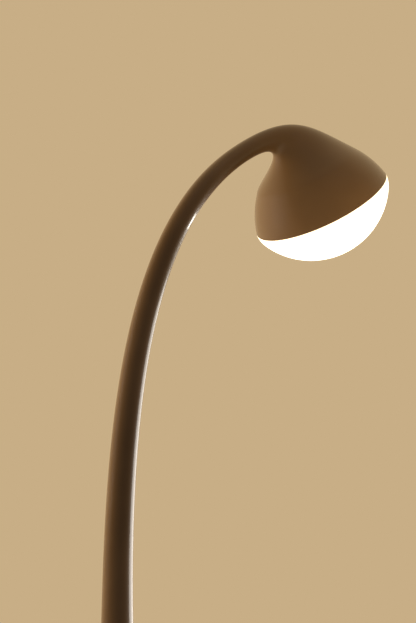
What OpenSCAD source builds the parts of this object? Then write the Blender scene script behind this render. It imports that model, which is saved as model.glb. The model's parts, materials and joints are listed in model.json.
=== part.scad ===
// Floor lamp: a weighted foot carries a tapering swan-neck stem that swells into a bell-shaped head.
// An opal dome closes the bell by a bayonet, and a sprung foot button switches the lamp.
// Millimetres, +Z up, +X towards the head. The origin is the centre of the foot on the floor.

/* [Foot] */
// Radius of the foot
foot_r = 148; // [142:1:165]
// Rounding of the foot's upper edge
foot_round = 5; // [4:0.5:5.5]
// Slope of the foot's flat zone, in degrees
foot_slope = 8; // [5:0.5:11]
// Width of the flat zone, from the foot's edge to where it turns up into the trumpet
flat_w = 60; // [54:1:66]
// Length of the trumpet's curve handle at the flat zone
flare_pull = 54; // [40:1:60]
// Length of the trumpet's curve handle at the stem
trumpet_pull = 300; // [240:5:340]
// Place of the weld between the foot's trumpet and the lower stem, as a share along their curve
weld_share = 0.66; // [0.6:0.01:0.72]
// Wall of the foot's shells
shell_wall = 2; // [1.5:0.1:2.4]
// Height of the foot cover's lower edge above the floor
shell_lift = 4; // [3.5:0.5:6]
// Thickness of the felt pad
felt_t = 3; // [2:0.5:3]
// Distance of the felt's edge inside the foot's edge
felt_inset = 8; // [5:1:14]
// Thickness of the base plate
plate_t = 6; // [5:0.5:6]
// Height of the ballast casting
ballast_h = 32; // [24:1:40]
// Radius of the hole up the middle of the ballast
ballast_bore = 20; // [16:1:24]
// Width of the welded ring inside the foot's edge
foot_ring_w = 10; // [9:0.5:12]

/* [Stem] */
// Height of the joint between the lower stem and the arched stem
joint_z = 560; // [500:5:620]
// Stem radius at the joint
joint_r = 25.2; // [24:0.1:27]
// Part of the joint radius that dies away upwards
stem_swell = 1.3; // [0.5:0.1:2]
// Distance over which that part dies away
stem_swell_len = 70; // [50:5:100]
// Stem radius where it meets the neck
stem_end_r = 15.7; // [15:0.1:17]
// Wall of the stem
stem_wall = 2; // [1.5:0.1:2.2]
// Forward reach of the arched stem
arch_x = 235; // [210:1:260]
// Rise of the arched stem above the joint
arch_rise = 744; // [700:2:790]
// Lean of the stem's upper end from upright, in degrees
arch_lean = 59.3; // [56:0.1:62]
// Length of the arch's curve handle at the joint
arch_pull_low = 368; // [330:1:400]
// Length of the arch's curve handle at the neck
arch_pull_high = 218; // [190:1:245]
// Length of the joint plug inside the lower stem
plug_down = 40; // [25:1:60]
// Length of the joint plug inside the stem
plug_up = 30; // [20:1:40]
// Radius of the lead's way through the plug
plug_bore = 8; // [5:0.5:12]

/* [Neck] */
// Fullness of the neck's inner curve at the stem, as a share of that curve's span
crook_in_stem = 1.158; // [1.08:0.002:1.24]
// Fullness of the neck's inner curve at the bell, as a share of that curve's span
crook_in_bell = 0.254; // [0.22:0.002:0.29]
// Fullness of the neck's outer curve at the stem, as a share of that curve's span
crook_out_stem = 0.61; // [0.57:0.002:0.65]
// Fullness of the neck's outer curve at the bell, as a share of that curve's span
crook_out_bell = 0.1; // [0.085:0.001:0.115]
// Place along its span that the neck's inner curve is drawn towards, as a share of the span
crook_in_along = 0.618; // [0.58:0.002:0.66]
// Distance off its span that the neck's inner curve is drawn towards, as a share of the span
crook_in_off = 0.962; // [0.91:0.002:1.02]
// Place along its span that the neck's outer curve is drawn towards, as a share of the span
crook_out_along = 0.73; // [0.69:0.002:0.77]
// Distance off its span that the neck's outer curve is drawn towards, as a share of the span
crook_out_off = 0.157; // [0.14:0.001:0.175]
// Half width that the neck's sides are drawn towards, half way round the crook
crook_side = 4; // [2:0.5:8]
// Wall of the neck where it meets the bell
neck_wall = 2.5; // [2:0.1:3]
// Length of the spigot inside the stem
spigot_down = 20; // [14:1:24]
// Length of the spigot inside the neck
spigot_up = 9; // [6:1:10]
// Wall of the spigot
spigot_wall = 2.5; // [2:0.1:3.5]

/* [Head] */
// Distance of the rim's centre beyond the stem's end
head_out = 174; // [166:0.5:182]
// Drop of the rim's centre below the stem's end
head_drop = 73; // [68:0.5:78]
// Tilt of the head's axis from upright, in degrees
head_tilt = 32.6; // [30:0.1:35]
// Radius of the bell's rim
rim_r = 120; // [118:0.5:124]
// Radius of the bell's curve
bell_curve = 163; // [155:1:172]
// Lean of the bell's wall at the rim, in degrees
rim_lean = 13.4; // [12.5:0.1:14.5]
// Lean of the bell's wall at the neck, in degrees
top_lean = 36.1; // [35:0.1:37.5]
// Straight length of the bell's wall below the neck
bell_straight = 6.4; // [3:0.1:9]
// Wall of the bell
bell_wall = 2.5; // [2:0.1:3]
// Width of the ring that screws the neck to the bell
neck_ring_w = 16; // [12:0.5:20]
// Thickness of that ring
neck_ring_t = 6; // [4:0.5:8]

/* [Diffuser] */
// Depth of the opal dome below the rim
dome_depth = 89.5; // [84:0.5:96]
// Radius of the dome's shoulder at the rim
dome_shoulder = 40; // [30:1:46]
// Wall of the dome
dome_wall = 3; // [2:0.1:3.5]
// Distance of the dome's collar inside the rim
upstand_inset = 16; // [14.5:0.5:18]
// Height of the dome's collar above the rim
upstand_h = 11; // [10:0.5:13]
// Length that the bayonet lugs stand out of the collar
lug_reach = 4; // [3:0.1:4.5]
// Angle that each lug covers, in degrees
lug_angle = 18; // [12:1:24]
// Turn between locked and free, in degrees
twist = 25; // [24:1:40]
// Height of the bayonet ring's lip above the rim
lip_z = 3; // [2:0.5:3.5]
// Thickness of that lip
lip_t = 3; // [2:0.5:3]
// Height of the bayonet ring
bay_h = 13; // [11:0.5:14]

/* [Lamp holder and bulb] */
// Wall of the holder's sleeve
sleeve_wall = 5.5; // [4:0.1:7]
// Length of the holder's sleeve
holder_len = 40; // [36:1:46]
// Length of the sleeve above the bell's top
holder_above = 12; // [10:0.5:16]
// Length of the holder's cap
cap_len = 24; // [20:1:28]
// Radius of the bulb's screw cap
bulb_cap_r = 13.2; // [12:0.1:13.5]
// Length of the bulb's screw cap
bulb_cap_len = 25; // [22:1:28]
// Radius of the bulb's globe
globe_r = 30; // [25:1:38]
// Distance of the globe's centre below the holder's mouth
globe_drop = 51; // [45:1:60]
// Thickness of the bulb's glass
glass_t = 1.2; // [0.8:0.1:2]

/* [Foot switch] */
// Distance of the switch's bezel from the ring inside the foot's edge
switch_gap = 4.7; // [2:0.1:6]
// Wall of the switch's bezel
bezel_wall = 3.7; // [3.3:0.1:4.5]
// Height of the bezel above the foot's flat zone
bezel_proud = 3.5; // [2:0.5:6]
// Radius of the button
button_r = 10.7; // [9:0.1:11]
// Radius of the button's shoulder
shoulder_r = 13; // [12:0.1:13]
// Height of the button above the bezel
button_proud = 4.5; // [4:0.5:6]
// Travel of the button
button_travel = 3; // [2:0.5:3.5]
// Height of the contact block under the button
switch_body_h = 9; // [8:0.5:10]
// Wire thickness of the return spring
spring_wire = 1; // [0.8:0.1:1.2]
// Radius of the return spring at the middle of its wire
spring_r = 7.5; // [6:0.1:9]
// Turns of the return spring
spring_turns = 5; // [3:0.5:5]

/* [Cord inlet and wiring] */
// Radius of the cord inlet's bore
cord_r = 3.1; // [2.5:0.1:3.3]
// Wall of the gland's body
gland_wall = 1.4; // [1:0.1:1.6]
// Width of the gland's flange
gland_flange_w = 1.1; // [0.9:0.1:1.4]
// Height of the foot's upright edge that is left free below and above the gland's flange
gland_spare = 0.2; // [0.1:0.05:1]
// Length of the gland inside the foot's edge
gland_len = 9; // [8:0.5:10]
// Diameter of the lead inside the lamp
lead_d = 5; // [4:0.5:6]
// Diameter of the switch lead
switch_lead_d = 4; // [3:0.5:4]
// Bend radius of the lead in the foot
lead_bend = 25; // [20:1:32]

/* [Fits] */
// Gap between pieces that are bonded or welded
bond_gap = 0.3; // [0.2:0.05:0.5]
// Gap between pieces that move past each other
move_gap = 0.3; // [0.3:0.05:0.5]
// Gap round a screw's shank
screw_gap = 0.05; // [0.03:0.01:0.1]

/* [Hidden] */
$fn = 96;

// Finishes
lacquer = "#755a40";
opal = "#fbf6ea";
steel = "#a9abad";
iron = "#4a4b4d";
brass = "#b8964e";
black_plastic = "#2a2927";
white_plastic = "#e6e2d8";

// Small allowances
cut = 0.5;
weld_clear = 0.5;
path_steps = 24;
arc_steps = 8;

// Plane geometry in the lamp's mirror plane, written as [x, z]
function bez3(p, t) = pow(1 - t, 3) * p[0] + 3 * pow(1 - t, 2) * t * p[1]
    + 3 * (1 - t) * t * t * p[2] + pow(t, 3) * p[3];
function bez3_slope(p, t) = 3 * pow(1 - t, 2) * (p[1] - p[0]) + 6 * (1 - t) * t * (p[2] - p[1])
    + 3 * t * t * (p[3] - p[2]);
function bez4(p, t) = (1 - t) * bez3([p[0], p[1], p[2], p[3]], t) + t * bez3([p[1], p[2], p[3], p[4]], t);
function unit(v) = v / norm(v);
function left_of(v) = unit([-v[1], v[0]]);
function arc(c, r, from, to) = [for (k = [0:arc_steps]) let (a = from + (to - from) * k / arc_steps)
    c + r * [cos(a), sin(a)]];
function backwards(list) = [for (k = [len(list) - 1:-1:0]) list[k]];

// Stem: its centre line, its length so far at each ring, and its radius
stem_sides = 40;
stem_rings = 36;
arch_z = joint_z + arch_rise;
stem_end = [arch_x, arch_z];
stem_dir = [sin(arch_lean), cos(arch_lean)];
arch = [[0, joint_z], [0, joint_z + arch_pull_low], stem_end - arch_pull_high * stem_dir, stem_end];
arch_line = [for (k = [0:stem_rings]) bez3(arch, k / stem_rings)];
arch_run = [for (k = 0, s = 0; k <= stem_rings; k = k + 1,
    s = s + (k <= stem_rings ? norm(arch_line[k] - arch_line[k - 1]) : 0)) s];
arch_len = arch_run[stem_rings];
function stem_radius(s) = stem_end_r + (joint_r - stem_swell - stem_end_r) * (1 - s / arch_len)
    + stem_swell * exp(-s / stem_swell_len);
// Radius of the round bar that fits inside a faceted bore of radius r
function inside_facets(r) = r * cos(180 / stem_sides);

// Cord gland, which sets the height of the foot's upright edge
plate_top = felt_t + plate_t;
gland_r = cord_r + gland_wall;
gland_flange_r = gland_r + gland_flange_w;
cord_z = plate_top + gland_spare + gland_flange_r;

// Foot: the rounded edge and the trumpet's curve as [radius, z]
plate_r = foot_r - shell_wall - 2 * cut;
edge_turn = 90 - foot_slope;
edge_setback = foot_round * tan(edge_turn / 2);
lip_top = cord_z + gland_flange_r + gland_spare;
foot_edge_z = lip_top + edge_setback;
edge_centre = [foot_r - foot_round, lip_top];
flare_r = foot_r - flat_w;
function flat_z(r) = foot_edge_z + (foot_r - r) * tan(foot_slope);
stem_slope = (joint_r - stem_swell - stem_end_r) / arch_len + stem_swell / stem_swell_len;
trumpet = [[joint_r, joint_z], [joint_r + stem_slope * trumpet_pull, joint_z - trumpet_pull],
    [flare_r - flare_pull * cos(foot_slope), flat_z(flare_r) + flare_pull * sin(foot_slope)],
    [flare_r, flat_z(flare_r)]];
collar_wall = 3;
collar_share = 0.05;
// Points down the curve of the lower stem and the trumpet, moved inwards by d
function trumpet_line(from, to, d) = [for (k = [0:path_steps]) let (t = from + (to - from) * k / path_steps)
    bez3(trumpet, t) - d * left_of(bez3_slope(trumpet, t))];

// From the foot's edge inwards: the welded ring, the cord clamp, the terminal block, the ballast
foot_ring_r = foot_r - shell_wall - bond_gap;
foot_ring_in = foot_ring_r - foot_ring_w;
row_gap = 4;
clamp_l = 12;
block_l = 14;
clamp_x = -(foot_ring_in - row_gap);
block_x = clamp_x + clamp_l + row_gap;
bezel_bore = shoulder_r + move_gap;
bezel_r = bezel_bore + bezel_wall;
switch_x = foot_ring_in - switch_gap - bezel_r;
ballast_r = min(switch_x - bezel_r, -block_x - block_l) - row_gap;

// Ring of fastening screws round the foot's edge
base_screw_r = 2;
base_screw_head = 4;
base_screw_n = 6;
base_screw_pitch_r = (foot_ring_r + foot_ring_in) / 2;
ballast_bolt_r = 3;
ballast_bolt_head = 6;
ballast_bolt_n = 3;
ballast_bolt_pitch_r = (ballast_bore + ballast_r) / 2;
ballast_bolt_depth = 14;

// Head: [radius, height above the rim] in the head's own frame
head_x = arch_x + head_out;
head_z = arch_z - head_drop;
rim = [head_x, head_z];
head_up = [-sin(head_tilt), cos(head_tilt)];
head_across = [cos(head_tilt), sin(head_tilt)];
bell_centre = [rim_r - bell_curve * cos(rim_lean), -bell_curve * sin(rim_lean)];
bell_turn = bell_centre + bell_curve * [cos(top_lean), sin(top_lean)];
bell_top = bell_turn + bell_straight * [-sin(top_lean), cos(top_lean)];
top_r = bell_top[0];
top_h = bell_top[1];
// Inner radius of the bell at height h, with room d left inside its wall
function bell_inside(h, d) = bell_centre[0]
    + sqrt(pow(bell_curve - bell_wall - d, 2) - pow(h - bell_centre[1], 2));

// Neck: two rails in the mirror plane and a half width across it
neck_rings = 18;
top_centre = rim + top_h * head_up;
stem_left = left_of(stem_dir);
stem_side_r = stem_radius(arch_len);
lean_in = -head_up * cos(top_lean) - head_across * sin(top_lean);
lean_out = -head_up * cos(top_lean) + head_across * sin(top_lean);
rail_in_0 = stem_end - stem_side_r * stem_left;
rail_in_1 = top_centre - top_r * head_across;
rail_out_0 = stem_end + stem_side_r * stem_left;
rail_out_1 = top_centre + top_r * head_across;
span_in = norm(rail_in_1 - rail_in_0);
span_out = norm(rail_out_1 - rail_out_0);
// A point beside the line from a to b, both distances as shares of that line's length
function beside(a, b, along, off) = a + along * (b - a) + off * norm(b - a) * left_of(b - a);
rail_in = [rail_in_0, rail_in_0 + crook_in_stem * span_in * stem_dir,
    beside(rail_in_0, rail_in_1, crook_in_along, crook_in_off),
    rail_in_1 - crook_in_bell * span_in * lean_in, rail_in_1];
rail_out = [rail_out_0, rail_out_0 + crook_out_stem * span_out * stem_dir,
    beside(rail_out_0, rail_out_1, crook_out_along, crook_out_off),
    rail_out_1 - crook_out_bell * span_out * lean_out, rail_out_1];
// This step in width keeps the neck's sides in line with the bell's wall
side_step = sin(top_lean) * (crook_in_bell * span_in + crook_out_bell * span_out) / 2;
neck_side = [stem_side_r, stem_side_r, crook_side, top_r - side_step, top_r];
top_wall = neck_wall / cos(top_lean);

// Bayonet and dome
upstand_r = rim_r - upstand_inset;
lug_r = upstand_r + lug_reach;
seam = 0.4;
lug_n = 3;
lug_first = 30;
lug_t = 2.6;
lug_z = lip_z + lip_t + seam;
notch_clear = 3;
crown_depth = dome_depth - seam;
crown_r = (rim_r * rim_r + crown_depth * crown_depth - 2 * rim_r * dome_shoulder)
    / (2 * (crown_depth - dome_shoulder));
crown_centre = [0, crown_r - dome_depth];
shoulder_centre = [rim_r - dome_shoulder, -seam];
shoulder_from = shoulder_centre - crown_centre;
crown_angle = atan2(shoulder_from[1], shoulder_from[0]);

// Lamp holder: heights above the rim
land_t = bell_wall;
bulb_gap = 0.8;
holder_r = bulb_cap_r + bulb_gap + sleeve_wall;
sleeve_top = top_h + holder_above;
sleeve_mouth = sleeve_top - holder_len;
sleeve_floor = 6;
shade_ring_t = 5;
shade_ring_w = 6;
shade_screw_r = 2;
shade_screw_head_r = 3.6;
shade_screw_head_t = 2.4;
shade_screw_n = 4;
neck_ring_r = top_r - top_wall - weld_clear;
shade_screw_pitch_r = neck_ring_r - neck_ring_t * tan(top_lean) - neck_ring_w / 2;

// Foot switch: heights above the floor
bezel_top = flat_z(switch_x - bezel_r) + bezel_proud;
bezel_lip = 3;
bezel_chamfer = 0.8;
bezel_screw_r = 1.4;
bezel_screw_head = 2.8;
bezel_screw_n = 3;
bezel_screw_depth = 8;
shoulder_top = bezel_top - bezel_lip - move_gap;
shoulder_t = 4;
body_top = plate_top + switch_body_h;
guide_r = 4;
guide_gap = 0.05;
guide_depth = 7;
guide_reach = guide_depth - button_travel - move_gap;
crown_rise = 1.5;
button_dome_r = (button_r * button_r + crown_rise * crown_rise) / (2 * crown_rise);
spring_seat = 0.1;
spring_low = body_top + spring_wire / 2 + spring_seat;
spring_high = shoulder_top - shoulder_t - spring_wire / 2 - spring_seat;
spring_sides = 6;
spring_turn_rings = 12;

// Cord inlet and wiring
gland_flange_t = 3;
gland_nut_t = 4;
foot_ring_slot = 2 * gland_flange_r + 4 * cut;
clamp_w = 24;
clamp_h = cord_z - plate_top + cord_r + 2.5;
clamp_screw_r = 1.5;
clamp_screw_head_r = 2.8;
clamp_screw_head_t = 2;
clamp_screw_y = 8.5;
block_w = 28;
block_h = 12;
pole_pitch = 8;
pole_r = 1.6;
lead_slot_w = lead_d + 8;
lead_sides = 8;
lead_r = lead_d / 2;
lead_reach = 50;
switch_lead_z = plate_top + switch_lead_d / 2 + cut;
switch_lead_end_r = -(block_x + block_l / 2);
switch_lead_start_r = norm([switch_x, (bezel_bore + bezel_r) / 2]);
switch_lead_from = asin((bezel_bore + cut) / switch_lead_start_r);
switch_lead_to = 180 - asin((block_w / 2 + 2 * cut) / switch_lead_end_r);
switch_lead_rings = 20;

// A ring of points round c, spanned by the half axes a and b, where a x b points back along the path
function loop(c, a, b, sides) = [for (k = [0:sides - 1]) let (w = 360 * k / sides) c + a * cos(w) + b * sin(w)];
function up_plane(p) = [p[0], 0, p[1]];
function flat_loop(c, half, depth, sides) = loop(up_plane(c), up_plane(half), [0, depth, 0], sides);
function joined(lists) = [for (l = lists) for (p = l) p];

// Triangles of the skin over n rings of s points, starting at point m
function skin(n, s, m) = [for (i = [0:n - 2]) for (k = [0:s - 1])
    let (a = m + i * s + k, b = m + i * s + (k + 1) % s)
    for (tri = [[a, b, b + s], [a, b + s, a + s]]) tri];
function flipped(faces) = [for (f = faces) [f[2], f[1], f[0]]];
// Triangles of the flat end between an outer ring at m and an inner ring at q
function rim_faces(s, m, q) = [for (k = [0:s - 1]) let (j = (k + 1) % s)
    for (tri = [[m + k, m + j, q + k], [m + j, q + j, q + k]]) tri];
function cap_faces(s, m) = [for (k = [1:s - 2]) [m, m + k, m + k + 1]];

module hollow_loft(outer, inner) {
    n = len(outer);
    s = len(outer[0]);
    last = (n - 1) * s;
    polyhedron(joined(concat(outer, inner)), concat(
        skin(n, s, 0),
        flipped(skin(n, s, n * s)),
        flipped(rim_faces(s, 0, n * s)),
        rim_faces(s, last, n * s + last)));
}

module solid_loft(rings) {
    n = len(rings);
    s = len(rings[0]);
    polyhedron(joined(rings), concat(
        skin(n, s, 0), flipped(cap_faces(s, 0)), cap_faces(s, (n - 1) * s)));
}

// Directions along a plane path, one at each of its points
function path_dirs(p) = [for (k = [0:len(p) - 1])
    unit(p[min(k + 1, len(p) - 1)] - p[max(k - 1, 0)])];

// Countersunk screw with its head's face at z 0, and the hole for it
module countersunk(r, head_r, len, gap = 0) {
    rotate_extrude() polygon([[0, -gap * 4], [head_r + gap, -gap * 4], [head_r + gap, 0],
        [r + gap, head_r - r], [r + gap, len + gap], [0, len + gap]]);
}

module round_about(n, r, first = 0) {
    for (k = [0:n - 1]) rotate(first + 360 * k / n) translate([r, 0, 0]) children();
}

module in_head() {
    translate([head_x, 0, head_z]) rotate([0, -head_tilt, 0]) children();
}

module at_switch() {
    translate([switch_x, 0, 0]) children();
}

// Turned ring between two radii and two heights
module turned_ring(r_in, r_out, low, high) {
    rotate_extrude() translate([r_in, low]) square([r_out - r_in, high - low]);
}

module base_screw_places() {
    round_about(base_screw_n, base_screw_pitch_r, 180 / base_screw_n) children();
}

module ballast_bolt_places() {
    round_about(ballast_bolt_n, ballast_bolt_pitch_r) children();
}

module bezel_screw_places() {
    at_switch() round_about(bezel_screw_n, (bezel_bore + bezel_r) / 2, 30) children();
}

module felt_pad() {
    color("#3b3a38") cylinder(h = felt_t, r = foot_r - felt_inset);
}

module base_plate() {
    color(steel) translate([0, 0, felt_t]) difference() {
        cylinder(h = plate_t, r = plate_r);
        base_screw_places() countersunk(base_screw_r, base_screw_head, plate_t, 2 * screw_gap);
        ballast_bolt_places() countersunk(ballast_bolt_r, ballast_bolt_head, plate_t, 2 * screw_gap);
        bezel_screw_places() countersunk(bezel_screw_r, bezel_screw_head, plate_t, 2 * screw_gap);
    }
}

module base_screws() {
    color(steel) translate([0, 0, felt_t]) base_screw_places()
        countersunk(base_screw_r, base_screw_head, plate_t + lip_top - plate_top - 2 * cut);
}

module foot_ring() {
    color(steel) difference() {
        turned_ring(foot_ring_r - foot_ring_w, foot_ring_r, plate_top, lip_top - cut);
        base_screw_places() cylinder(h = foot_edge_z, r = base_screw_r + screw_gap);
        translate([-foot_r, -foot_ring_slot / 2, 0]) cube([2 * foot_ring_w, foot_ring_slot, foot_edge_z]);
    }
}

module foot_cover() {
    outer = concat([bez3(trumpet, 1)], arc(edge_centre, foot_round, edge_turn, 0), [[foot_r, shell_lift]]);
    inner = concat([trumpet_line(1, 1, shell_wall)[0]],
        arc(edge_centre, foot_round - shell_wall, edge_turn, 0), [[foot_r - shell_wall, shell_lift]]);
    color(lacquer) difference() {
        rotate_extrude() polygon(concat(outer, backwards(inner)));
        at_switch() cylinder(h = bezel_top, r = bezel_r + move_gap);
        translate([-foot_r, 0, cord_z]) rotate([0, 90, 0])
            cylinder(h = 4 * foot_round, r = gland_r + screw_gap, center = true);
    }
}

// Turned shell between two shares of the trumpet's curve and two depths under its outside
module trumpet_shell(from, to, depth, wall) {
    rotate_extrude() polygon(concat(trumpet_line(from, to, depth), backwards(trumpet_line(from, to, depth + wall))));
}

module foot_trumpet() {
    color(lacquer) trumpet_shell(weld_share, 1, 0, shell_wall);
}

// Ring inside the weld between the trumpet and the lower stem
module trumpet_collar() {
    color(steel) trumpet_shell(weld_share - collar_share, weld_share + collar_share,
        shell_wall + bond_gap, collar_wall);
}

module lower_stem() {
    outer = trumpet_line(0, weld_share, 0);
    line = trumpet_line(0, weld_share, shell_wall);
    color(lacquer) rotate_extrude() polygon(concat(outer, backwards(
        concat([[joint_r - shell_wall, joint_z]], [for (k = [1:path_steps]) line[k]]))));
}

module ballast() {
    depth = shell_wall + bond_gap + collar_wall + cut;
    inside = trumpet_line(0, 1, depth);
    color(iron) difference() {
        rotate_extrude() intersection() {
            polygon(concat([[0, 0], [foot_r, 0], [foot_r, flat_z(foot_r) - depth / cos(foot_slope)]],
                backwards(inside), [[0, joint_z]]));
            translate([ballast_bore, plate_top]) square([ballast_r - ballast_bore, ballast_h]);
        }
        ballast_bolt_places() cylinder(h = plate_top + ballast_bolt_depth + cut, r = ballast_bolt_r + screw_gap);
        translate([-foot_r, -lead_slot_w / 2, 0]) cube([foot_r, lead_slot_w, plate_top + ballast_h + cut]);
    }
}

module ballast_bolts() {
    color(steel) translate([0, 0, felt_t]) ballast_bolt_places()
        countersunk(ballast_bolt_r, ballast_bolt_head, plate_t + ballast_bolt_depth);
}

// Along -X, with z 0 on the foot's edge and +Z pointing out of the foot
module at_inlet() {
    translate([-foot_r, 0, cord_z]) rotate([0, -90, 0]) children();
}

module cord_gland() {
    color(black_plastic) at_inlet() rotate_extrude() polygon([[cord_r, -gland_len], [gland_r, -gland_len],
        [gland_r, screw_gap], [gland_flange_r, screw_gap], [gland_flange_r, gland_flange_t / 2],
        [gland_r, gland_flange_t], [cord_r, gland_flange_t]]);
}

module gland_nut() {
    seat = -shell_wall - bond_gap;
    color(steel) at_inlet() turned_ring(gland_r + screw_gap, gland_flange_r, seat - gland_nut_t, seat);
}

module clamp_screw_places() {
    for (y = [-clamp_screw_y, clamp_screw_y]) translate([clamp_x + clamp_l / 2, y, plate_top]) children();
}

module cord_clamp() {
    foot_h = clamp_h / 2;
    color(black_plastic) difference() {
        translate([clamp_x, 0, 0]) rotate([90, 0, 90]) linear_extrude(clamp_l) polygon([
            [-clamp_w / 2, plate_top], [clamp_w / 2, plate_top], [clamp_w / 2, plate_top + foot_h],
            [cord_r + 2, plate_top + foot_h], [cord_r, plate_top + clamp_h], [-cord_r, plate_top + clamp_h],
            [-cord_r - 2, plate_top + foot_h], [-clamp_w / 2, plate_top + foot_h]]);
        translate([clamp_x - cut, 0, cord_z]) rotate([0, 90, 0])
            cylinder(h = clamp_l + 2 * cut, r = cord_r + screw_gap);
        clamp_screw_places() cylinder(h = clamp_h, r = clamp_screw_r + screw_gap);
    }
}

module clamp_screws() {
    foot_h = clamp_h / 2;
    color(steel) clamp_screw_places() rotate_extrude() polygon([[0, 0], [clamp_screw_r, 0],
        [clamp_screw_r, foot_h], [clamp_screw_head_r, foot_h],
        [clamp_screw_head_r, foot_h + clamp_screw_head_t / 2],
        [clamp_screw_head_r / 2, foot_h + clamp_screw_head_t], [0, foot_h + clamp_screw_head_t]]);
}

module terminal_block() {
    color(white_plastic) difference() {
        translate([block_x, -block_w / 2, plate_top]) cube([block_l, block_w, block_h]);
        for (y = [-pole_pitch, 0, pole_pitch]) {
            translate([block_x - cut, y, cord_z]) rotate([0, 90, 0]) cylinder(h = block_l / 2, r = pole_r);
            translate([block_x + block_l / 4, y, cord_z]) cylinder(h = block_h, r = pole_r);
        }
    }
}

// Two-core lead that runs round the ballast from the switch to the terminal block
module switch_lead() {
    r = switch_lead_d / 2;
    color(black_plastic) solid_loft([for (k = [0:switch_lead_rings])
        let (u = k / switch_lead_rings, a = switch_lead_from + (switch_lead_to - switch_lead_from) * u,
            spoke = [cos(a), sin(a), 0], out = switch_lead_start_r + (switch_lead_end_r - switch_lead_start_r) * u)
        loop(out * spoke + [0, 0, switch_lead_z], r * spoke, [0, 0, r], lead_sides)]);
}

module switch_body() {
    color(black_plastic) at_switch() rotate_extrude() polygon([[0, plate_top],
        [bezel_bore - move_gap, plate_top], [bezel_bore - move_gap, body_top], [guide_r + guide_gap, body_top],
        [guide_r + guide_gap, body_top - guide_depth], [0, body_top - guide_depth]]);
}

// Points along the return spring's wire, and their least distance to the next turn
spring_rings = ceil(spring_turns * spring_turn_rings);
function spring_point(k) = let (a = 360 * k / spring_turn_rings)
    [spring_r * cos(a), spring_r * sin(a), spring_low + (spring_high - spring_low) * k / spring_rings];
spring_gap = min([for (k = [0:spring_rings - spring_turn_rings])
    norm(spring_point(k + spring_turn_rings) - spring_point(k))]) - spring_wire;
echo(spring_gap = spring_gap);

module switch_spring() {
    r = spring_wire / 2;
    color(steel) at_switch() solid_loft([for (k = [0:spring_rings]) let (a = 360 * k / spring_turn_rings)
        loop(spring_point(k), r * [cos(a), sin(a), 0], [0, 0, r], spring_sides)]);
}

module switch_button() {
    edge_z = bezel_top + button_proud - crown_rise;
    dome_half = asin(button_r / button_dome_r);
    color(black_plastic) at_switch() rotate_extrude() polygon(concat(
        [[0, body_top - guide_reach], [guide_r, body_top - guide_reach], [guide_r, shoulder_top - shoulder_t],
            [shoulder_r, shoulder_top - shoulder_t], [shoulder_r, shoulder_top], [button_r, shoulder_top]],
        arc([0, edge_z + crown_rise - button_dome_r], button_dome_r, 90 - dome_half, 90)));
}

module switch_bezel() {
    color(steel) difference() {
        at_switch() rotate_extrude() polygon([[bezel_bore, plate_top], [bezel_r, plate_top],
            [bezel_r, bezel_top - bezel_chamfer], [bezel_r - bezel_chamfer, bezel_top],
            [button_r + move_gap, bezel_top], [button_r + move_gap, bezel_top - bezel_lip],
            [bezel_bore, bezel_top - bezel_lip]]);
        bezel_screw_places() cylinder(h = plate_top + bezel_screw_depth + cut, r = bezel_screw_r + screw_gap);
        translate([switch_x, 0, switch_lead_z]) rotate([-90, 0, 0])
            cylinder(h = 2 * bezel_r, r = switch_lead_d / 2 + 2 * cut);
    }
}

module bezel_screws() {
    color(steel) translate([0, 0, felt_t]) bezel_screw_places()
        countersunk(bezel_screw_r, bezel_screw_head, plate_t + bezel_screw_depth);
}

module stem_plug() {
    low_r = joint_r - shell_wall - bond_gap;
    high_r = inside_facets(stem_radius(plug_up) - stem_wall) - bond_gap;
    color(steel) rotate_extrude() polygon([[plug_bore, joint_z - plug_down], [low_r, joint_z - plug_down],
        [low_r, joint_z], [high_r, joint_z], [high_r, joint_z + plug_up], [plug_bore, joint_z + plug_up]]);
}

// Tapering tube swept along the arch
module stem() {
    dirs = [for (k = [0:stem_rings]) unit(bez3_slope(arch, k / stem_rings))];
    color(lacquer) hollow_loft(
        [for (k = [0:stem_rings]) let (r = stem_radius(arch_run[k]))
            flat_loop(arch_line[k], r * left_of(dirs[k]), r, stem_sides)],
        [for (k = [0:stem_rings]) let (r = stem_radius(arch_run[k]) - stem_wall)
            flat_loop(arch_line[k], r * left_of(dirs[k]), r, stem_sides)]);
}

module neck_spigot() {
    r = inside_facets(stem_end_r - stem_wall) - 3 * bond_gap;
    color(steel) translate([arch_x, 0, arch_z]) rotate([0, arch_lean, 0])
        turned_ring(r - spigot_wall, r, -spigot_down, spigot_up);
}

// One ring of the neck at u from 0 at the stem to 1 at the bell, with its wall moved in by d
function neck_ring_at(u, d) = let (i = bez4(rail_in, u), o = bez4(rail_out, u), half = (o - i) / 2)
    flat_loop((i + o) / 2, half - d * unit(half), bez4(neck_side, u) - d, stem_sides);

module neck() {
    color(lacquer) hollow_loft(
        [for (k = [0:neck_rings]) neck_ring_at(k / neck_rings, 0)],
        [for (k = [0:neck_rings]) let (u = k / neck_rings)
            neck_ring_at(u, stem_wall + (top_wall - stem_wall) * u)]);
}

module shade_screw_places() {
    round_about(shade_screw_n, shade_screw_pitch_r, 180 / shade_screw_n) children();
}

// Ring welded into the neck's lower end, into which the bell is screwed
module neck_ring() {
    inner_r = neck_ring_r - neck_ring_t * tan(top_lean) - neck_ring_w;
    color(steel) in_head() difference() {
        rotate_extrude() polygon([[inner_r, top_h], [inside_facets(neck_ring_r), top_h],
            [inside_facets(neck_ring_r) - neck_ring_t * tan(top_lean) - 4 * cut, top_h + neck_ring_t],
            [inner_r, top_h + neck_ring_t]]);
        shade_screw_places() cylinder(h = top_h + neck_ring_t + cut, r = shade_screw_r + screw_gap);
    }
}

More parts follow.
